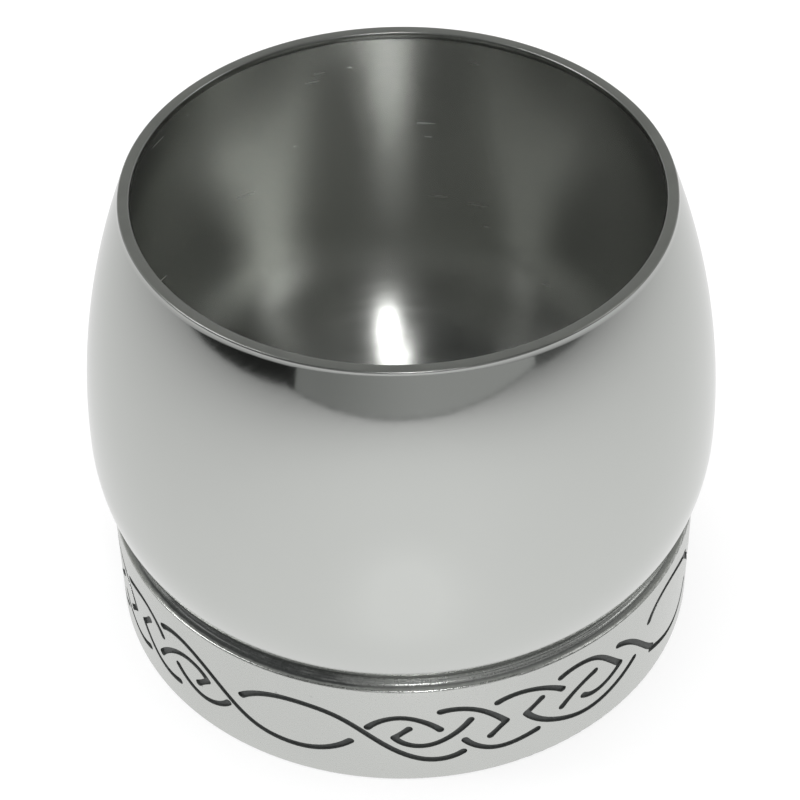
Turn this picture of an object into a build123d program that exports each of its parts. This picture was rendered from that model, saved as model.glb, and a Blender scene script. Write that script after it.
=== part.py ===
"""Stemless pewter communion cup: a spun barrel bowl soldered onto a foot band with a cut interlace."""

import os
from math import asin, cos, degrees, radians, sin, sqrt

from build123d import *

os.makedirs("parts", exist_ok=True)

# Driving dimensions: millimetres, and degrees round the cup from its front (-Y), positive to the right.
cup_height = 70.0
belly_radius = 43.5
belly_height = 31.5
rim_outer_radius = 36.2
rim_width = 1.45
rim_land_height = 1.0
rim_edge_rounding = 0.25
wall_thickness = 1.4
bowl_floor_height = 5.1

band_height = 18.2
band_thickness = 1.55
band_edge_rounding = 0.3
seam_gap = 0.3

solder_gap = 0.12
joint_fillet_above = 0.7
joint_fillet_below = 1.8

base_plate_thickness = 1.2
base_plate_recess = 1.0
base_fillet = 0.6

knot_margin = 3.1
first_eye_angle = -21.7
closing_stretch = 16.0
groove_depth = 0.35
groove_width = 0.92
groove_end_width = 1.08

# Bowl: two arcs that meet at the belly with an upright tangent, down to a flat floor.
rim_rise = cup_height - belly_height
rim_draw_in = belly_radius - rim_outer_radius
upper_arc_radius = (rim_rise**2 + rim_draw_in**2) / (2 * rim_draw_in)
lower_arc_radius = belly_height - bowl_floor_height
upper_arc_centre = (belly_radius - upper_arc_radius, belly_height)
lower_arc_centre = (belly_radius - lower_arc_radius, belly_height)
rim_inner_radius = rim_outer_radius - rim_width


def lower_bowl_radius(height):
    """Outside radius of the bowl at a height below its belly."""
    return lower_arc_centre[0] + sqrt(lower_arc_radius**2 - (belly_height - height) ** 2)


band_inner_radius = lower_bowl_radius(band_height) + solder_gap
band_outer_radius = band_inner_radius + band_thickness
base_plate_radius = band_inner_radius - solder_gap


with BuildPart() as bowl:
    with BuildSketch(Plane.XZ) as bowl_section:
        land_foot = cup_height - rim_land_height
        land_angle = degrees(asin((land_foot - belly_height) / (upper_arc_radius - wall_thickness)))
        rim_angle = degrees(asin(rim_rise / upper_arc_radius))
        with BuildLine():
            floor = Line((0, bowl_floor_height), (lower_arc_centre[0], bowl_floor_height))
            CenterArc(lower_arc_centre, lower_arc_radius, -90, 90)
            outside = CenterArc(upper_arc_centre, upper_arc_radius, 0, rim_angle)
            rim_top = Line(outside @ 1, (rim_inner_radius, cup_height))
            land = Line(rim_top @ 1, (rim_inner_radius, land_foot))
            inside = CenterArc(upper_arc_centre, upper_arc_radius - wall_thickness, land_angle, -land_angle)
            Line(land @ 1, inside @ 0)
            inner_corner = CenterArc(lower_arc_centre, lower_arc_radius - wall_thickness, 0, -90)
            inner_floor = Line(inner_corner @ 1, (0, bowl_floor_height + wall_thickness))
            Line(inner_floor @ 1, floor @ 0)
        make_face()
    revolve(axis=Axis.Z)
    rim_edges = bowl.edges().filter_by(GeomType.CIRCLE).group_by(Axis.Z)[-1]
    fillet(rim_edges, rim_edge_rounding)


# Interlace on the foot band. Each stroke is a list of runs that meet in a corner, and each run is
# a list of points: degrees from the centre of the first eye, and share of the knot's half height.
knot_half_height = band_height / 2 - knot_margin
knot_pitch = (360 - closing_stretch) / 4
seam_angle = first_eye_angle + 2 * knot_pitch + closing_stretch / 2

eye_stroke = [
    [(-32.0, 0.68), (-27.0, 0.85), (-19.0, 0.45), (-7.6, -0.58), (-2.5, -0.73), (2.5, -0.73), (10.9, -0.25)],
]
far_eye_stroke = [
    [(65.8, 0.72), (69.2, 0.50), (73.0, 0.04), (77.6, -0.56)],
    [(77.2, -0.62), (81.5, -0.82), (86.7, -0.97), (92.4, -0.90), (96.3, -0.50)],
]
cluster_strokes = [
    [[(14.3, 0.28), (17.2, 0.55), (20.5, 0.64), (23.9, 0.53), (27.7, 0.18)]],
    [
        [(21.9, 0.26), (19.2, -0.04)],
        [(19.2, -0.04), (20.9, -0.23), (24.8, -0.34), (28.7, -0.17), (33.4, 0.38)],
    ],
    [
        [(27.8, 0.78), (31.0, 0.81), (34.4, 0.69), (37.8, 0.39), (40.3, 0.06)],
        [(40.3, 0.06), (37.3, -0.32)],
    ],
    [[(32.4, -0.29), (34.6, -0.56), (38.3, -0.76), (43.0, -0.73), (46.8, -0.60)]],
    [[(38.6, 0.76), (42.4, 0.88), (46.7, 0.80), (52.0, 0.43)]],
    [
        [(47.5, 0.43), (44.4, 0.10)],
        [(44.4, 0.10), (46.7, -0.22), (51.4, -0.57), (57.2, -0.77), (62.9, -0.70), (71.0, -0.23)],
    ],
    [
        [(51.6, 0.84), (55.3, 0.97), (59.1, 0.90), (63.0, 0.53), (66.6, 0.04)],
        [(66.6, 0.04), (63.9, -0.18), (60.1, -0.31), (57.1, -0.19)],
    ],
    [[(52.1, -0.19), (55.4, 0.16), (59.7, 0.42)]],
]


def turned(stroke, centre_angle):
    """The stroke turned half way round a point on the band's middle line."""
    return [[(2 * centre_angle - angle, -share) for angle, share in run] for run in stroke]


def stretched(stroke):
    """The stroke with its left half moved away, so that the last eye takes up the rest of the ring."""
    return [
        [(angle - closing_stretch if angle < 0 else angle, share) for angle, share in run]
        for run in stroke
    ]


def moved(strokes, angle_step):
    """The strokes moved round the band."""
    return [[[(angle + angle_step, share) for angle, share in run] for run in stroke] for stroke in strokes]


near_eye = [eye_stroke, turned(eye_stroke, 0)]
closing_eye = [stretched(eye_stroke), stretched(turned(eye_stroke, 0))]
half_round = [far_eye_stroke, turned(far_eye_stroke, knot_pitch)]
half_round += cluster_strokes
half_round += [turned(stroke, knot_pitch) for stroke in cluster_strokes]
knot = moved(near_eye + half_round, first_eye_angle)
knot += moved(closing_eye + half_round, first_eye_angle - 2 * knot_pitch)


def side_plane(angle, distance):
    """Upright plane that faces outward, at an angle round the cup and a distance from its axis."""
    turn = radians(angle)
    outward = Vector(sin(turn), -cos(turn), 0)
    across = Vector(cos(turn), sin(turn), 0)
    return Plane(origin=outward * distance + Vector(0, 0, band_height / 2), x_dir=across, z_dir=outward)


def groove_edges(run, middle_angle):
    """Points along both edges of a run and at its two tips, on a flat that faces its stroke's middle.

    The flat's points land at their own angles on the band's face, and the groove swells toward its ends.
    """
    points = []
    for angle, share in run:
        points.append((band_outer_radius * sin(radians(angle - middle_angle)), share * knot_half_height))
    centre = Spline(*points) if len(points) > 2 else Line(*points)
    steps = 2 * len(points)
    left = []
    right = []
    for step in range(steps + 1):
        swell = (2 * step / steps - 1) ** 2
        half_width = (groove_width + (groove_end_width - groove_width) * swell) / 2
        along = centre % (step / steps)
        aside = Vector(-along.Y, along.X) * half_width
        left.append(centre @ (step / steps) + aside)
        right.append(centre @ (step / steps) - aside)
    start_tip = centre @ 0 - centre % 0 * groove_end_width / 2
    end_tip = centre @ 1 + centre % 1 * groove_end_width / 2
    return left, right, start_tip, end_tip


cutter_clearance = 1.0
cutter_length = 6.0

groove_cutters = []
for stroke in knot:
    angles = [angle for run in stroke for angle, share in run]
    middle_angle = (min(angles) + max(angles)) / 2
    run_edges = [groove_edges(run, middle_angle) for run in stroke]
    with BuildSketch(side_plane(middle_angle, band_outer_radius + cutter_clearance)) as stroke_outline:
        for left, right, start_tip, end_tip in run_edges:
            with BuildLine():
                Spline(*left)
                ThreePointArc(left[-1], end_tip, right[-1])
                Spline(*reversed(right))
                ThreePointArc(right[0], start_tip, left[0])
            make_face()
    groove_cutters.append(extrude(stroke_outline.sketch, amount=-cutter_length))


def round_outer_edges(ring):
    """Take the sharpness off the two outermost edges of a ring."""
    fillet(ring.edges().filter_by(GeomType.CIRCLE).sort_by(SortBy.RADIUS)[-2:], band_edge_rounding)


# Foot band: the strokes are cut out of a drum and its core is put back, which leaves even grooves.
with BuildPart() as foot_band:
    with BuildSketch():
        Circle(band_outer_radius)
    extrude(amount=band_height)
    add(groove_cutters, mode=Mode.SUBTRACT)
    with BuildSketch():
        Circle(band_outer_radius - groove_depth)
    extrude(amount=band_height)
    with BuildSketch():
        Circle(band_inner_radius)
    extrude(amount=band_height, mode=Mode.SUBTRACT)
    round_outer_edges(foot_band)
    with BuildSketch(side_plane(seam_angle, 0)):
        Rectangle(seam_gap, 2 * band_height)
    extrude(amount=band_outer_radius + cutter_clearance, mode=Mode.SUBTRACT)

# Solder that fills the butt gap where the strip's two ends meet, at the back.
with BuildPart() as band_seam_solder:
    with BuildSketch():
        Circle(band_outer_radius)
        Circle(band_inner_radius, mode=Mode.SUBTRACT)
    extrude(amount=band_height)
    round_outer_edges(band_seam_solder)
    with BuildSketch(side_plane(seam_angle, 0)):
        Rectangle(seam_gap, 2 * band_height)
    extrude(amount=band_outer_radius + cutter_clearance, mode=Mode.INTERSECT)


def bowl_arc_angle(height):
    """Angle on the bowl's lower arc at a height, below the level of its centre."""
    return -degrees(asin((belly_height - height) / lower_arc_radius))


# Solder ring that holds the bowl in the band's top inner corner, drawn through to the inside.
with BuildPart() as bowl_joint_solder:
    with BuildSketch(Plane.XZ):
        low_angle = bowl_arc_angle(band_height - joint_fillet_below)
        high_angle = bowl_arc_angle(band_height + joint_fillet_above)
        with BuildLine():
            bowl_side = CenterArc(lower_arc_centre, lower_arc_radius, low_angle, high_angle - low_angle)
            Polyline(
                bowl_side @ 1,
                (band_inner_radius + joint_fillet_above, band_height),
                (band_inner_radius, band_height),
                (band_inner_radius, band_height - joint_fillet_below),
                bowl_side @ 0,
            )
        make_face()
    revolve(axis=Axis.Z)

# Disc that closes the foot, held clear of the table by its recess.
with BuildPart() as base_plate:
    with BuildSketch(Plane.XY.offset(base_plate_recess)):
        Circle(base_plate_radius)
    extrude(amount=base_plate_thickness)

# Solder ring round the disc, with a fillet under its edge.
with BuildPart() as base_joint_solder:
    with BuildSketch(Plane.XZ):
        plate_top = base_plate_recess + base_plate_thickness
        with BuildLine():
            Polyline(
                (base_plate_radius, plate_top),
                (base_plate_radius, base_plate_recess),
                (base_plate_radius - base_fillet, base_plate_recess),
                (band_inner_radius, base_plate_recess - base_fillet),
                (band_inner_radius, plate_top),
                close=True,
            )
        make_face()
    revolve(axis=Axis.Z)

bowl.part.label = "bowl"
foot_band.part.label = "foot_band"
band_seam_solder.part.label = "band_seam_solder"
bowl_joint_solder.part.label = "bowl_joint_solder"
base_plate.part.label = "base_plate"
base_joint_solder.part.label = "base_joint_solder"

export_step(bowl.part, "parts/bowl.step")
export_step(foot_band.part, "parts/foot_band.step")
export_step(band_seam_solder.part, "parts/band_seam_solder.step")
export_step(bowl_joint_solder.part, "parts/bowl_joint_solder.step")
export_step(base_plate.part, "parts/base_plate.step")
export_step(base_joint_solder.part, "parts/base_joint_solder.step")
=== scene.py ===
"""Dress the communion cup: polished pewter bowl, blackened interlace band and a small paper sweep."""

from math import asin, cos, pi, radians, sin

import bpy
from bpy.props import FloatProperty, FloatVectorProperty, IntProperty, PointerProperty
from mathutils import Matrix, Vector, noise


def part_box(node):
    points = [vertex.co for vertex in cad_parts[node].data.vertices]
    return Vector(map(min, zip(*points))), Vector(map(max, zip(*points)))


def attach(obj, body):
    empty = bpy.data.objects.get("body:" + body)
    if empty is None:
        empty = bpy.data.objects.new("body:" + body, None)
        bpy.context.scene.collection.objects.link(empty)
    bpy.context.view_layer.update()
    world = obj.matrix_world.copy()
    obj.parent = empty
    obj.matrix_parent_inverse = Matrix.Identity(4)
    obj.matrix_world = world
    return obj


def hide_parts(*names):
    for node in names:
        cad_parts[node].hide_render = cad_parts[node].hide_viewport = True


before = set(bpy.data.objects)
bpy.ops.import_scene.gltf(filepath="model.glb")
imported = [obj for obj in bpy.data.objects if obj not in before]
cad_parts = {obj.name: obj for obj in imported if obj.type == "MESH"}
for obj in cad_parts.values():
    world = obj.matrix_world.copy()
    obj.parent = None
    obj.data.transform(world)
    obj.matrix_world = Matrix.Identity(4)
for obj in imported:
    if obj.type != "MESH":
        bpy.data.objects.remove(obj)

bl_info = {
    "name": "Communion Cup",
    "version": (1, 0, 0),
    "blender": (4, 5, 0),
    "location": "3D View > Sidebar > Cup",
    "description": "Makes the finished surfaces of a low pewter communion cup with an interlace foot band",
    "category": "Object",
}

MM = 0.001
BODY = "root"
BOWL_LOW, BOWL_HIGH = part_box("bowl")
BAND_LOW, BAND_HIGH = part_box("foot_band")
JOINT_LOW, JOINT_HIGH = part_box("bowl_joint_solder")
CUP_HEIGHT = BOWL_HIGH.z
BELLY_RADIUS = BOWL_HIGH.x
BOWL_FLOOR_HEIGHT = BOWL_LOW.z
BAND_HEIGHT = BAND_HIGH.z
BAND_RADIUS = BAND_HIGH.x
ON_AXIS = 1e-9


def length(name, description, default):
    """A property that holds a length in metres."""
    return FloatProperty(name=name, description=description, default=default, unit="LENGTH", precision=5)


def color(name, description, default):
    """A property that holds a colour."""
    return FloatVectorProperty(name=name, description=description, default=default, subtype="COLOR", size=3)


def factor(name, description, default):
    """A property that holds a share from 0 to 1."""
    return FloatProperty(name=name, description=description, default=default, subtype="FACTOR", min=0, max=1)


class BowlSettings(bpy.types.PropertyGroup):
    """Sizes and metal of the bowl."""

    belly_height: length("Belly height", "Height of the widest part above the table", 31.5 * MM)
    rim_radius: length("Rim radius", "Outside radius of the rim", 36.2 * MM)
    rim_width: length("Rim width", "Width of the flat rim", 1.45 * MM)
    rim_land: length("Rim land", "Height of the upright strip inside the rim", 1.0 * MM)
    rim_rounding: length("Rim rounding", "Radius of the rim's worn edges", 0.25 * MM)
    wall: length("Wall", "Thickness of the spun wall", 1.4 * MM)
    ripple: length("Ripple", "Depth of the faint unevenness left by spinning", 0.02 * MM)
    segments: IntProperty(name="Segments", description="Steps round the bowl", default=360, min=48)
    outside_color: color("Outside colour", "Polished pewter", (0.60, 0.612, 0.592))
    outside_roughness: factor("Outside roughness", "Blur of the polished outside", 0.08)
    inside_color: color("Inside colour", "Turned pewter", (0.63, 0.638, 0.617))
    inside_roughness: factor("Inside roughness", "Blur of the turned inside", 0.235)


class BandSettings(bpy.types.PropertyGroup):
    """Metal and patina of the foot band."""

    groove_depth: length("Groove depth", "Depth at which the patina is solid black", 0.35 * MM)
    metal_color: color("Metal colour", "Satin pewter of the band", (0.61, 0.62, 0.60))
    patina_color: color("Patina colour", "Black left in the grooves", (0.058, 0.062, 0.060))
    roughness: factor("Roughness", "Blur of the band's face", 0.26)
    file_lines: IntProperty(name="File lines", description="Ridges the file left round the joint", default=2)
    file_depth: length("File depth", "Height of the ridges left by the file", 0.07 * MM)


class StageSettings(bpy.types.PropertyGroup):
    """Paper colour and camera lens."""

    paper_color: color("Paper colour", "Colour of the paper sweep", (0.86, 0.86, 0.86))
    lens: FloatProperty(name="Lens", description="Focal length, 36 mm wide sensor", default=108.0, min=10.0)


class CupSettings(bpy.types.PropertyGroup):
    """All settings of the cup."""

    bowl: PointerProperty(type=BowlSettings)
    band: PointerProperty(type=BandSettings)
    stage: PointerProperty(type=StageSettings)


# ------------------------------------------------------------ shader helpers


class Shader:
    """A node tree under construction, with short calls for the nodes that the metals share."""

    def __init__(self, tree):
        self.tree = tree
        tree.nodes.clear()
        self.column = 0

    def node(self, kind, **settings):
        """Add a node and set its own options."""
        made = self.tree.nodes.new(kind)
        made.location = (self.column, 0)
        self.column += 200
        for option, value in settings.items():
            setattr(made, option, value)
        return made

    def join(self, source, socket):
        """Join a socket to an input, or write a plain value on it."""
        if isinstance(source, bpy.types.NodeSocket):
            self.tree.links.new(source, socket)
        else:
            socket.default_value = source

    def math(self, operation, *terms, clamp=False):
        """Result of a math node."""
        made = self.node("ShaderNodeMath", operation=operation, use_clamp=clamp)
        for term, socket in zip(terms, made.inputs):
            self.join(term, socket)
        return made.outputs[0]

    def ramp(self, value, low, high):
        """0 below low, 1 above high, and a smooth change between them."""
        made = self.node("ShaderNodeMapRange", interpolation_type="SMOOTHSTEP")
        self.join(value, made.inputs["Value"])
        made.inputs["From Min"].default_value = low
        made.inputs["From Max"].default_value = high
        return made.outputs["Result"]

    def mix(self, share, first, second):
        """Colour between two colours."""
        made = self.node("ShaderNodeMix", data_type="RGBA")
        self.join(share, made.inputs["Factor"])
        self.join(first, made.inputs["A"])
        self.join(second, made.inputs["B"])
        return made.outputs["Result"]

    def vector(self, x, y, z):
        """Vector made of three values."""
        made = self.node("ShaderNodeCombineXYZ")
        for value, socket in zip((x, y, z), made.inputs):
            self.join(value, socket)
        return made.outputs[0]

    def noise(self, vector, scale, detail=3.0, rough=0.5):
        """Soft noise from 0 to 1."""
        made = self.node("ShaderNodeTexNoise")
        self.join(vector, made.inputs["Vector"])
        made.inputs["Scale"].default_value = scale
        made.inputs["Detail"].default_value = detail
        made.inputs["Roughness"].default_value = rough
        return made.outputs["Fac"]

    def spots(self, vector, scale, size):
        """1 at the middle of scattered round spots, and 0 between them."""
        made = self.node("ShaderNodeTexVoronoi")
        self.join(vector, made.inputs["Vector"])
        made.inputs["Scale"].default_value = scale
        return self.math("SUBTRACT", 1.0, self.ramp(made.outputs["Distance"], size * 0.4, size))

    def bump(self, height, distance, strength):
        """Normal of a surface with small relief."""
        made = self.node("ShaderNodeBump")
        made.inputs["Strength"].default_value = strength
        made.inputs["Distance"].default_value = distance
        self.join(height, made.inputs["Height"])
        return made.outputs["Normal"]

    def place(self):
        """Position on the cup in millimetres: the vector, distance from the axis, height and arc length."""
        coordinates = self.node("ShaderNodeTexCoord").outputs["Object"]
        scaled = self.node("ShaderNodeVectorMath", operation="SCALE")
        self.join(coordinates, scaled.inputs[0])
        scaled.inputs["Scale"].default_value = 1 / MM
        parts = self.node("ShaderNodeSeparateXYZ")
        self.join(scaled.outputs[0], parts.inputs[0])
        x, y, z = parts.outputs
        radius = self.math("SQRT", self.math("ADD", self.math("MULTIPLY", x, x), self.math("MULTIPLY", y, y)))
        around = self.math("MULTIPLY", self.math("ARCTAN2", x, y), radius)
        return scaled.outputs[0], radius, z, around

    def metal(self, base, roughness, normal, anisotropy=0.0, bare=1.0):
        """Finish the tree as metal; turning lines round the cup draw highlights out up and down."""
        made = self.node("ShaderNodeBsdfPrincipled")
        self.join(bare, made.inputs["Metallic"])
        self.join(base, made.inputs["Base Color"])
        self.join(roughness, made.inputs["Roughness"])
        self.join(normal, made.inputs["Normal"])
        if anisotropy:
            made.inputs["Anisotropic"].default_value = anisotropy
            made.inputs["Anisotropic Rotation"].default_value = 0.25
            tangent = self.node("ShaderNodeTangent", direction_type="RADIAL", axis="Z")
            self.join(tangent.outputs[0], made.inputs["Tangent"])
        out = self.node("ShaderNodeOutputMaterial")
        self.join(made.outputs[0], out.inputs["Surface"])


def new_material(name):
    """An empty node material and its shader."""
    made = bpy.data.materials.new(name)
    made.use_nodes = True
    return made, Shader(made.node_tree)


def rgba(values, gain=1.0):
    """Four colour numbers from three, made lighter or darker."""
    return (*[value * gain for value in values], 1.0)


# ------------------------------------------------------------------ metals


def polished_pewter(settings):
    """Outside of the bowl: near-mirror pewter with faint cloudy wear and a few specks."""
    material, s = new_material("polished_pewter")
    place, _, height, around = s.place()
    cloud = s.noise(place, 0.035, 4.0)
    wipe = s.noise(s.vector(around, s.math("MULTIPLY", height, 0.25), 0.0), 0.9, 5.0, 0.6)
    speck = s.spots(place, 0.09, 0.035)
    base = s.mix(cloud, rgba(settings.outside_color, 0.96), rgba(settings.outside_color, 1.03))
    base = s.mix(speck, base, rgba(settings.outside_color, 0.35))
    rough = s.math("ADD", settings.outside_roughness - 0.03, s.math("MULTIPLY", wipe, 0.06))
    peel = s.noise(place, 0.5, 2.0)
    s.metal(base, rough, s.bump(peel, 0.004 * MM, 0.5))
    return material


def turned_pewter(settings):
    """Inside of the bowl: fine turning lines that draw each highlight up and down the wall."""
    material, s = new_material("turned_pewter")
    place, radius, height, around = s.place()
    slow_turn = s.math("MULTIPLY", around, 0.02)
    along = s.math("SUBTRACT", height, radius)
    lines = s.noise(s.vector(slow_turn, along, 0.0), 5.0, 4.0, 0.7)
    drawn_out = s.vector(s.math("MULTIPLY", around, 0.15), s.math("MULTIPLY", along, 3.0), 0.0)
    dashes = s.spots(drawn_out, 0.5, 0.15)
    sparse = s.ramp(s.noise(s.vector(around, along, 3.0), 0.11, 1.0), 0.64, 0.68)
    scratch = s.math("MULTIPLY", dashes, sparse)
    cloud = s.noise(place, 0.05, 3.0)
    base = s.mix(lines, rgba(settings.inside_color, 0.90), rgba(settings.inside_color, 1.06))
    base = s.mix(s.math("MULTIPLY", cloud, 0.25), base, rgba(settings.inside_color, 0.8))
    base = s.mix(scratch, base, (0.9, 0.91, 0.89, 1.0))
    rough = s.math("ADD", settings.inside_roughness - 0.05, s.math("MULTIPLY", lines, 0.10))
    rough = s.math("ADD", rough, s.math("MULTIPLY", scratch, 0.25))
    relief = s.math("ADD", s.math("MULTIPLY", lines, 0.5), scratch)
    s.metal(base, rough, s.bump(relief, 0.010 * MM, 0.6), anisotropy=0.87)
    return material


def rim_pewter(settings):
    """Rim: turned flat and duller than the outside, its colour darkened to about half the outside's as
    painted shade for the dark that the rim reflects.
    """
    material, s = new_material("rim_pewter")
    place, radius, height, around = s.place()
    rings = s.noise(s.vector(s.math("MULTIPLY", around, 0.03), radius, height), 6.0, 3.0, 0.6)
    cloud = s.noise(place, 0.25, 4.0)
    # painted shade: the rim's pewter is darkened to 0.52 to 0.68 of the outside colour
    base = s.mix(cloud, rgba(settings.outside_color, 0.52), rgba(settings.outside_color, 0.68))
    rough = s.math("ADD", 0.24, s.math("MULTIPLY", rings, 0.14))
    s.metal(base, rough, s.bump(rings, 0.01 * MM, 0.5), anisotropy=0.4)
    return material


def joint_patina_and_shade(s):
    """How black the joint over the band is, patina and painted shade together: most at the front left,
    lighter at the front and sides.
    """
    coordinates = s.node("ShaderNodeSeparateXYZ")
    s.join(s.node("ShaderNodeTexCoord").outputs["Object"], coordinates.inputs[0])
    x, y, _ = coordinates.outputs
    turn = s.math("ARCTAN2", x, s.math("MULTIPLY", y, -1.0))
    share = s.math("ADD", s.math("DIVIDE", turn, 2 * pi), 0.5)
    made = s.node("ShaderNodeValToRGB")
    ramp = made.color_ramp
    # darkness of the joint by turn round the cup, partly patina and partly painted shade
    left_darkness = {-180: 0.3, -72: 0.12, -60: 0.6, -48: 0.95, -16: 0.95, -5: 0.45}
    right_darkness = {3: 0.15, 12: 0.4, 34: 0.55, 48: 0.22, 75: 0.1}
    wear = {**left_darkness, **right_darkness}
    while len(ramp.elements) < len(wear):
        ramp.elements.new(0.5)
    for element, (degrees, amount) in zip(ramp.elements, wear.items()):
        element.position = degrees / 360 + 0.5
        element.color = (amount, amount, amount, 1.0)
    s.join(share, made.inputs[0])
    return made.outputs["Color"]


def band_pewter(settings):
    """Foot band: satin face, black in the grooves, black in the corner under the bowl as patina and painted
    shade, bright worn edges.
    """
    material, s = new_material("band_pewter")
    place, radius, height, around = s.place()
    face = BAND_RADIUS / MM
    top = BAND_HEIGHT / MM
    depth = settings.groove_depth / MM
    grain = s.noise(place, 1.6, 4.0, 0.6)
    cloud = s.noise(place, 0.06, 3.0)
    sunk = s.math("SUBTRACT", face, radius)
    groove = s.ramp(sunk, 0.06 * depth, 0.17 * depth)
    on_face = s.ramp(height, top - 0.1, top - 0.35)
    groove = s.math("MULTIPLY", groove, on_face)
    # painted shade with patina: the top of the band is darkened toward the bowl that overhangs it
    corner_jitter = s.math("MULTIPLY", s.noise(place, 0.8, 3.0), 0.4)
    corner = s.ramp(s.math("ADD", sunk, corner_jitter), 0.35, 1.0)
    corner = s.math("MULTIPLY", corner, s.math("SUBTRACT", 1.0, on_face))
    corner = s.math("MULTIPLY", corner, s.math("ADD", joint_patina_and_shade(s), 0.3), clamp=True)
    pitted_areas = s.ramp(s.noise(place, 0.12, 1.0), 0.55, 0.62)
    pits = s.math("MULTIPLY", s.spots(place, 0.35, 0.10), pitted_areas)
    metal = s.mix(cloud, rgba(settings.metal_color, 0.95), rgba(settings.metal_color, 1.04))
    metal = s.mix(s.math("MULTIPLY", grain, 0.08), metal, rgba(settings.metal_color, 0.9))
    # black share: patina in the grooves and pits, patina and painted shade on the ledge under the bowl
    patina = s.math("MAXIMUM", s.math("MAXIMUM", groove, corner), s.math("MULTIPLY", pits, 0.7))
    base = s.mix(patina, metal, rgba(settings.patina_color))
    rough = s.math("ADD", settings.roughness - 0.04, s.math("MULTIPLY", grain, 0.1))
    rough = s.math("ADD", rough, s.math("MULTIPLY", patina, 0.3))
    bare = s.math("SUBTRACT", 1.0, s.math("MULTIPLY", patina, 0.8))
    drawn_out = s.vector(s.math("MULTIPLY", around, 0.5), radius, s.math("MULTIPLY", height, 2.0))
    files = s.noise(drawn_out, 2.0, 3.0)
    s.metal(base, rough, s.bump(files, 0.004 * MM, 0.4), bare=bare)
    return material


def solder_metal():
    """Solder: grey metal with a lumpy skin."""
    material, s = new_material("lumpy_solder")
    place = s.place()[0]
    lumps = s.noise(place, 0.7, 4.0, 0.65)
    base = s.mix(lumps, (0.50, 0.51, 0.50, 1.0), (0.34, 0.35, 0.34, 1.0))
    s.metal(base, s.math("ADD", 0.25, s.math("MULTIPLY", lumps, 0.25)), s.bump(lumps, 0.05 * MM, 0.7))
    return material


def filed_metal(settings):
    """Joint over the band: filed round and round, with black left between the file lines and dark creases at
    its edges, patina and painted shade together.
    """
    material, s = new_material("filed_joint")
    place, radius, height, around = s.place()
    drawn_out = s.vector(s.math("MULTIPLY", around, 0.35), s.math("MULTIPLY", radius, 5.0), height)
    marks = s.noise(drawn_out, 1.0, 4.0, 0.7)
    lumps = s.noise(place, 0.9, 4.0, 0.65)
    lines = s.noise(s.vector(s.math("MULTIPLY", around, 0.02), radius, 0.0), 4.0, 2.0)
    # black: patina in the file marks, scaled by the joint's patina and painted shade by turn
    black = s.math("MULTIPLY", joint_patina_and_shade(s), s.math("ADD", 0.45, s.math("MULTIPLY", marks, 0.9)))
    black = s.ramp(s.math("ADD", black, s.math("MULTIPLY", lines, 0.3)), 0.3, 1.05)
    # painted shade with patina: the creases at both edges of the ring are darkened
    edge = JOINT_HIGH.x / MM
    outer_crease = s.ramp(radius, edge - 0.16, edge - 0.02)
    inner_crease = s.ramp(radius, edge - 0.38, edge - 0.5)
    creases = s.math("MAXIMUM", outer_crease, inner_crease)
    black = s.math("MAXIMUM", black, s.math("MULTIPLY", creases, 0.8))
    metal = s.mix(lumps, (0.60, 0.61, 0.59, 1.0), (0.44, 0.45, 0.435, 1.0))
    base = s.mix(black, metal, rgba(settings.patina_color))
    rough = s.math("ADD", 0.2, s.math("MULTIPLY", lumps, 0.15))
    bare = s.math("SUBTRACT", 1.0, s.math("MULTIPLY", black, 0.8))
    s.metal(base, rough, s.bump(marks, 0.02 * MM, 0.5), anisotropy=0.3, bare=bare)
    return material


def base_pewter():
    """Underside: turned rings, never polished."""
    material, s = new_material("base_pewter")
    place, radius, _, around = s.place()
    rings = s.noise(s.vector(radius, s.math("MULTIPLY", around, 0.01), 0.0), 2.2, 5.0, 0.7)
    cloud = s.noise(place, 0.05, 4.0)
    base = s.mix(cloud, (0.46, 0.47, 0.455, 1.0), (0.58, 0.59, 0.57, 1.0))
    rough = s.math("ADD", 0.3, s.math("MULTIPLY", rings, 0.2))
    s.metal(base, rough, s.bump(rings, 0.03 * MM, 0.7), anisotropy=0.5)
    return material


# ------------------------------------------------------------------- pieces


def new_piece(name, points, faces, materials, face_slots=None):
    """A smooth mesh object of a piece that belongs to the cup."""
    mesh = bpy.data.meshes.new(name)
    mesh.from_pydata(points, [], faces)
    for material in materials:
        mesh.materials.append(material)
    if face_slots:
        mesh.polygons.foreach_set("material_index", face_slots)
    mesh.shade_smooth()
    mesh.update()
    piece = bpy.data.objects.new(name, mesh)
    bpy.context.scene.collection.objects.link(piece)
    return piece


def arc(centre, radius, start, end, steps):
    """Points on an arc in the (distance from the axis, height) plane, from one angle to another."""
    turn = (end - start) / steps
    return [
        (centre[0] + radius * cos(start + turn * step), centre[1] + radius * sin(start + turn * step))
        for step in range(steps + 1)
    ]


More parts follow.
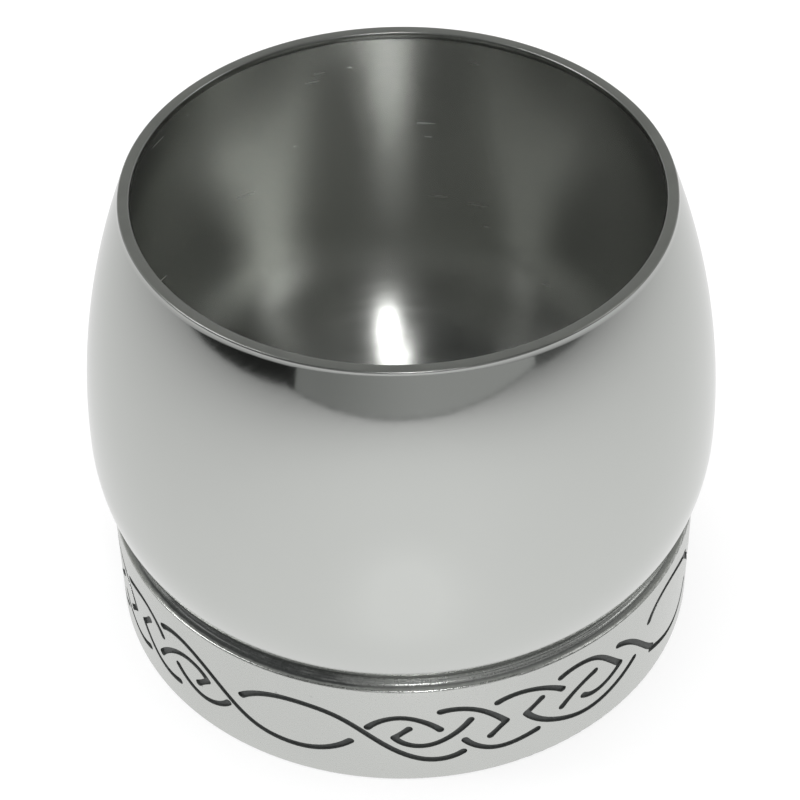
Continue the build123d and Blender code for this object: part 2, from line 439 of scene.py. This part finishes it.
def bowl_outline(settings):
    """Half section of the bowl from the middle of its underside to the middle of its floor.

    Gives the points and, for each step between them, 0 for outside, 1 for rim and 2 for inside.
    """
    rise = CUP_HEIGHT - settings.belly_height
    draw_in = BELLY_RADIUS - settings.rim_radius
    upper_radius = (rise**2 + draw_in**2) / (2 * draw_in)
    lower_radius = settings.belly_height - BOWL_FLOOR_HEIGHT
    upper = (BELLY_RADIUS - upper_radius, settings.belly_height)
    lower = (BELLY_RADIUS - lower_radius, settings.belly_height)
    rounding = settings.rim_rounding
    inner_radius = settings.rim_radius - settings.rim_width
    land_foot = CUP_HEIGHT - settings.rim_land
    land_angle = asin((land_foot - settings.belly_height) / (upper_radius - settings.wall))
    rim_angle = asin((rise - rounding) / upper_radius)
    flat_steps = 8
    upper_steps = 56
    lower_steps = 40
    edge_steps = 6
    underside = [(lower[0] * step / flat_steps, BOWL_FLOOR_HEIGHT) for step in range(flat_steps)]
    outside = underside + arc(lower, lower_radius, -pi / 2, 0, lower_steps)[:-1]
    outside += arc(upper, upper_radius, 0, rim_angle, upper_steps)
    outer_edge_centre = (outside[-1][0] - rounding * cos(rim_angle), CUP_HEIGHT - rounding)
    rim = arc(outer_edge_centre, rounding, rim_angle, pi / 2, edge_steps)[1:]
    rim += arc((inner_radius + rounding, CUP_HEIGHT - rounding), rounding, pi / 2, pi, edge_steps)
    rim.append((inner_radius, land_foot))
    inside = arc(upper, upper_radius - settings.wall, land_angle, 0, upper_steps)
    inside += arc(lower, lower_radius - settings.wall, 0, -pi / 2, lower_steps)[1:]
    floor_height = BOWL_FLOOR_HEIGHT + settings.wall
    inside += [(lower[0] * (1 - step / flat_steps), floor_height) for step in range(1, flat_steps + 1)]
    outline = outside + rim + inside
    bands = [0] * (len(outside) - 1) + [1] * (len(rim) + 1) + [2] * (len(inside) - 1)
    return outline, bands


def lathe(outline, bands, segments, unevenness):
    """Points, faces and material numbers of an outline turned about the cup's axis."""
    points = []
    faces = []
    face_slots = []
    rings = []
    for distance, height in outline:
        if distance < ON_AXIS:
            rings.append([len(points)] * segments)
            points.append((0.0, 0.0, height))
            continue
        ring = []
        for step in range(segments):
            angle = 2 * pi * step / segments
            pushed = distance - unevenness(distance, height, angle)
            ring.append(len(points))
            points.append((pushed * cos(angle), pushed * sin(angle), height))
        rings.append(ring)
    for row, (near, far) in enumerate(zip(rings, rings[1:])):
        for step in range(segments):
            ahead = (step + 1) % segments
            corners = [near[step], near[ahead], far[ahead], far[step]]
            faces.append([corner for spot, corner in enumerate(corners) if corner not in corners[:spot]])
            face_slots.append(bands[row])
    return points, faces, face_slots


class CUP_OT_bowl(bpy.types.Operator):
    """Make the spun bowl with its polished outside, turned rim and turned inside"""

    bl_idname = "cup.bowl"
    bl_label = "Bowl"

    def execute(self, context):
        settings = context.scene.cup.bowl
        outline, bands = bowl_outline(settings)
        waves_round = 1.6
        wave_height = 22 * MM
        fade_height = 8 * MM

        def unevenness(distance, height, angle):
            """Depth of the spinning ripple, which fades out toward the rim."""
            spot = Vector((cos(angle) * waves_round, sin(angle) * waves_round, height / wave_height))
            fade = min(1.0, max(0.0, (CUP_HEIGHT - height) / fade_height))
            return settings.ripple * fade * (0.5 + 0.5 * noise.noise(spot))

        points, faces, face_slots = lathe(outline, bands, settings.segments, unevenness)
        metals = [polished_pewter(settings), rim_pewter(settings), turned_pewter(settings)]
        piece = new_piece("spun_bowl", points, faces, metals, face_slots)
        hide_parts("bowl")
        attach(piece, BODY)
        return {"FINISHED"}


class CUP_OT_joint(bpy.types.Operator):
    """Make the filed ring of solder between the bowl and the top of the foot band"""

    bl_idname = "cup.joint"
    bl_label = "Joint"

    def execute(self, context):
        settings = context.scene.cup.band
        outer = JOINT_HIGH.x
        inner = outer - 0.6 * MM
        fall = JOINT_HIGH.z - BAND_HEIGHT
        hollow = 0.9
        sink = 0.06 * MM
        lump_depth = 0.06 * MM
        lump_width = 0.6 * MM
        lumps_round = 9
        steps = 40
        segments = 720
        outline = []
        for step in range(steps + 1):
            share = step / steps
            lines = 0.5 - 0.5 * cos(2 * pi * settings.file_lines * share)
            rise = (1 - share) ** hollow * fall + settings.file_depth * lines
            outline.append((inner + share * (outer - inner), BAND_HEIGHT + rise - sink * share))

        def unevenness(distance, height, angle):
            """Lumps that the file left."""
            spot = Vector((cos(angle) * lumps_round, sin(angle) * lumps_round, distance / lump_width))
            return lump_depth * noise.noise(spot)

        points, faces, _ = lathe(outline, [0] * len(outline), segments, unevenness)
        piece = new_piece("filed_joint_ring", points, faces, [filed_metal(settings)])
        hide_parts("bowl_joint_solder")
        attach(piece, BODY)
        return {"FINISHED"}


class CUP_OT_foot(bpy.types.Operator):
    """Finish the foot band, its solder and the base plate"""

    bl_idname = "cup.foot"
    bl_label = "Foot"

    def execute(self, context):
        settings = context.scene.cup.band
        solder = solder_metal()
        finishes = {
            "foot_band": band_pewter(settings),
            "base_plate": base_pewter(),
            "band_seam_solder": solder,
            "base_joint_solder": solder,
        }
        for node, finish in finishes.items():
            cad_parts[node].data.materials[0] = finish
        return {"FINISHED"}


# -------------------------------------------------------------------- stage


def glossy_only(card):
    """Let a card show in the metal and nowhere else."""
    card.visible_camera = False
    card.visible_diffuse = False
    card.visible_shadow = False
    card.visible_transmission = False
    card.visible_volume_scatter = False


def stage_mesh(name, points, faces, material):
    """A piece of the stage."""
    piece = new_piece(name, points, faces, [material])
    return piece


def card_glow(name, left, right, left_x, right_x):
    """Material of a card that gets lighter from left to right."""
    material, s = new_material(name)
    parts = s.node("ShaderNodeSeparateXYZ")
    s.join(s.node("ShaderNodeTexCoord").outputs["Object"], parts.inputs[0])
    glow = s.node("ShaderNodeEmission")
    s.join(s.mix(s.ramp(parts.outputs["X"], left_x, right_x), left, right), glow.inputs["Color"])
    s.join(glow.outputs[0], s.node("ShaderNodeOutputMaterial").inputs["Surface"])
    return material


def paper_material(settings):
    """White paper: it keeps the shadow and is white in the view; in the metal it glows with painted light
    that dims away from the cup, with a pool near the foot and a lighter strip toward the back.
    """
    material, s = new_material("white_paper")
    parts = s.node("ShaderNodeSeparateXYZ")
    s.join(s.node("ShaderNodeTexCoord").outputs["Object"], parts.inputs[0])
    x, y, _ = parts.outputs
    # painted light in the metal: the paper glows brightest near the cup and dims away from it
    near_gain = 0.92
    painted_pool_gain = 0.12
    back_gain = 0.4
    view_gain = 0.72
    side = s.math("POWER", s.math("DIVIDE", s.math("SUBTRACT", x, 0.02), 0.38), 2.0)
    ahead = s.math("POWER", s.math("DIVIDE", s.math("ADD", y, 0.10), 0.60), 2.0)
    spread = s.math("ADD", 1.0, s.math("ADD", side, ahead))
    painted_falloff = s.math("DIVIDE", near_gain, spread)
    # painted pool of light on the paper in front of the foot
    painted_pool_side = s.math("POWER", s.math("DIVIDE", x, 0.022), 2.0)
    painted_pool_ahead = s.math("POWER", s.math("DIVIDE", s.math("ADD", y, 0.09), 0.03), 2.0)
    painted_pool = s.math("EXPONENT", s.math("MULTIPLY", s.math("ADD", painted_pool_side, painted_pool_ahead), -1.0))
    painted_glow = s.math("ADD", painted_falloff, s.math("MULTIPLY", painted_pool, painted_pool_gain))
    # painted light: the paper glows lighter toward the back
    back = s.ramp(y, 0.15, 0.9)
    painted_glow = s.math("ADD", painted_glow, s.math("MULTIPLY", back, back_gain), clamp=True)
    paper = s.node("ShaderNodeBsdfDiffuse")
    paper.inputs["Color"].default_value = rgba(settings.paper_color)
    in_metal = s.node("ShaderNodeEmission")
    s.join(painted_glow, in_metal.inputs["Strength"])
    in_view = s.node("ShaderNodeEmission")
    rays = s.node("ShaderNodeLightPath")
    soft = s.node("ShaderNodeMixShader")
    s.join(s.math("MULTIPLY", rays.outputs["Is Camera Ray"], view_gain), soft.inputs[0])
    s.join(paper.outputs[0], soft.inputs[1])
    s.join(in_view.outputs[0], soft.inputs[2])
    look = s.node("ShaderNodeMixShader")
    reflected = s.math("MAXIMUM", rays.outputs["Is Glossy Ray"], rays.outputs["Is Transmission Ray"])
    s.join(reflected, look.inputs[0])
    s.join(soft.outputs[0], look.inputs[1])
    s.join(in_metal.outputs[0], look.inputs[2])
    s.join(look.outputs[0], s.node("ShaderNodeOutputMaterial").inputs["Surface"])
    return material


def canopy_material():
    """Dark room overhead, with a pale strip along the horizon at the sides and back."""
    material, s = new_material("canopy")
    parts = s.node("ShaderNodeSeparateXYZ")
    s.join(s.node("ShaderNodeTexCoord").outputs["Object"], parts.inputs[0])
    x, y, z = parts.outputs
    front = s.mix(s.ramp(x, -0.7, 0.7), rgba((0.035, 0.037, 0.036)), rgba((0.11, 0.113, 0.108)))
    walls = s.mix(s.ramp(z, 1.0, 1.6), rgba((0.36, 0.365, 0.35)), rgba((0.28, 0.285, 0.275)))
    low_dark = s.math("MAXIMUM", s.ramp(z, 0.1, 0.5), s.ramp(y, 0.2, 0.9))
    away = s.math("MULTIPLY", s.ramp(y, -0.45, 0.15), low_dark)
    room = s.mix(away, front, walls)
    strip = s.math("SUBTRACT", 1.0, s.ramp(z, 0.1, 0.9))
    strip = s.math("MULTIPLY", strip, s.ramp(y, 0.3, 1.0))
    glow = s.node("ShaderNodeEmission")
    s.join(s.mix(strip, room, rgba((0.85, 0.85, 0.85))), glow.inputs["Color"])
    s.join(glow.outputs[0], s.node("ShaderNodeOutputMaterial").inputs["Surface"])
    return material


def area_lamp(name, place, aim, wide, tall, power, seen_in_metal=True):
    """A flat lamp that faces a point."""
    data = bpy.data.lights.new(name, "AREA")
    data.shape = "RECTANGLE"
    data.size = wide
    data.size_y = tall
    data.energy = power
    lamp = bpy.data.objects.new(name, data)
    lamp.location = place
    lamp.rotation_euler = (Vector(aim) - Vector(place)).to_track_quat("-Z", "Y").to_euler()
    lamp.visible_glossy = seen_in_metal
    lamp.visible_camera = False
    bpy.context.scene.collection.objects.link(lamp)


class CUP_OT_stage(bpy.types.Operator):
    """Set up the paper, the cards, the lamps, the world and the camera"""

    bl_idname = "cup.stage"
    bl_label = "Stage"

    def execute(self, context):
        settings = context.scene.cup.stage
        self.paper(settings)
        self.cards()
        self.lamps()
        self.world(context.scene)
        self.camera(context.scene, settings)
        return {"FINISHED"}

    def paper(self, settings):
        """A wide sheet just under the foot."""
        reach = 3.0
        low = -0.02 * MM
        corners = [(-reach, -reach, low), (reach, -reach, low), (reach, reach, low), (-reach, reach, low)]
        stage_mesh("paper_sweep", corners, [(0, 1, 2, 3)], paper_material(settings))

    def cards(self):
        """Dark table beyond the lit paper, a grey card in front and the canopy."""
        dark = card_glow("dark_card", rgba((0.015, 0.016, 0.015)), rgba((0.09, 0.092, 0.09)), -0.4, 0.6)
        grey = card_glow("grey_card", rgba((0.23, 0.235, 0.23)), rgba((0.37, 0.375, 0.37)), -0.30, 0.10)
        lift = 0.5 * MM
        front = -0.53
        back = 0.02
        left = -0.43
        right = 0.53
        far = 1.6
        table = [
            (-far, front, lift), (left, front, lift), (left, back, lift), (-far, back, lift),
            (right, front, lift), (far, front, lift), (far, back, lift), (right, back, lift),
            (-far, -far, lift), (far, -far, lift), (far, front, lift), (-far, front, lift),
        ]
        glossy_only(stage_mesh("dark_table", table, [(0, 1, 2, 3), (4, 5, 6, 7), (8, 9, 10, 11)], dark))
        card_left = -0.41
        card_right = 0.60
        card_front = -0.56
        card_height = 0.36
        corners = [
            (card_left, card_front, 0), (card_right, card_front, 0),
            (card_right, card_front, card_height), (card_left, card_front, card_height),
        ]
        glossy_only(stage_mesh("grey_front_card", corners, [(0, 1, 2, 3)], grey))
        radius = 1.7
        points = [(0.0, 0.0, radius)]
        faces = []
        rows = 24
        columns = 64
        for row in range(1, rows + 1):
            tilt = pi / 2 * row / rows
            for column in range(columns):
                turn = 2 * pi * column / columns
                out = radius * sin(tilt)
                points.append((out * cos(turn), out * sin(turn), radius * cos(tilt)))
        for column in range(columns):
            ahead = (column + 1) % columns
            faces.append((0, 1 + column, 1 + ahead))
            for row in range(rows - 1):
                start = 1 + row * columns
                below = start + columns
                faces.append((start + column, below + column, below + ahead, start + ahead))
        glossy_only(stage_mesh("canopy", points, faces, canopy_material()))

    def lamps(self):
        """Small lamp by the lens, a window each side and a soft top light for the paper."""
        cup = (0.0, 0.0, 0.04)
        area_lamp("lens_lamp", (0.027, -0.250, 0.300), cup, wide=0.024, tall=0.016, power=0.17)
        area_lamp("left_window", (-0.90, -0.04, 0.86), cup, wide=0.24, tall=1.0, power=3.6)
        area_lamp("right_window", (0.90, 0.0, 0.68), cup, wide=0.20, tall=0.64, power=0.8)
        area_lamp("ceiling_lamp", (0.035, -0.50, 1.15), cup, wide=0.20, tall=0.16, power=0.8)
        area_lamp("top_light", (0.0, 0.1, 1.1), cup, wide=1.2, tall=1.2, power=14.0, seen_in_metal=False)

    def world(self, scene):
        """White all round in the view and in the metal, plain grey light for the rest."""
        world = bpy.data.worlds.new("white_room")
        scene.world = world
        world.use_nodes = True
        s = Shader(world.node_tree)
        rays = s.node("ShaderNodeLightPath")
        seen = s.math("MAXIMUM", rays.outputs["Is Camera Ray"], rays.outputs["Is Glossy Ray"])
        seen = s.math("MAXIMUM", seen, rays.outputs["Is Transmission Ray"])
        sky = s.node("ShaderNodeBackground")
        s.join(s.mix(seen, rgba((0.55, 0.55, 0.55)), rgba((1.0, 1.0, 1.0))), sky.inputs["Color"])
        s.join(sky.outputs[0], s.node("ShaderNodeOutputWorld").inputs["Surface"])

    def camera(self, scene, settings):
        """High three-quarter view down on the rim, leaning a little."""
        data = bpy.data.cameras.new("view")
        data.lens = settings.lens
        data.sensor_width = 36.0
        data.clip_start = 0.01
        camera = bpy.data.objects.new("view", data)
        place = Vector((0.0, -246.8, 260.3)) * MM
        aim = Vector((-0.24, 0.0, 32.05)) * MM
        lean = radians(-1.078)
        turn = (aim - place).to_track_quat("-Z", "Y").to_matrix() @ Matrix.Rotation(lean, 3, "Z")
        camera.matrix_world = Matrix.Translation(place) @ turn.to_4x4()
        scene.collection.objects.link(camera)
        scene.camera = camera
        scene.view_settings.view_transform = "Standard"


class CUP_PT_panel(bpy.types.Panel):
    """Lists the cup's pieces and settings in the sidebar"""

    bl_idname = "CUP_PT_panel"
    bl_label = "Communion Cup"
    bl_space_type = "VIEW_3D"
    bl_region_type = "UI"
    bl_category = "Cup"

    def draw(self, context):
        cup = context.scene.cup
        for operator in PIECES:
            self.layout.operator(operator.bl_idname)
        for group in (cup.bowl, cup.band, cup.stage):
            box = self.layout.box()
            for name in group.__annotations__:
                box.prop(group, name)


PIECES = (CUP_OT_bowl, CUP_OT_joint, CUP_OT_foot, CUP_OT_stage)
GROUPS = (BowlSettings, BandSettings, StageSettings, CupSettings)


def register():
    """Make the settings, operators and panel known."""
    for kind in (*GROUPS, *PIECES, CUP_PT_panel):
        bpy.utils.register_class(kind)
    bpy.types.Scene.cup = PointerProperty(type=CupSettings)


def unregister():
    """Take the settings, operators and panel away."""
    del bpy.types.Scene.cup
    for kind in reversed((*GROUPS, *PIECES, CUP_PT_panel)):
        bpy.utils.unregister_class(kind)


def main():
    """Make every piece in order."""
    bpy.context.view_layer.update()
    register()
    bpy.ops.cup.bowl()
    bpy.ops.cup.joint()
    bpy.ops.cup.foot()
    bpy.ops.cup.stage()


if __name__ == "__main__":
    main()
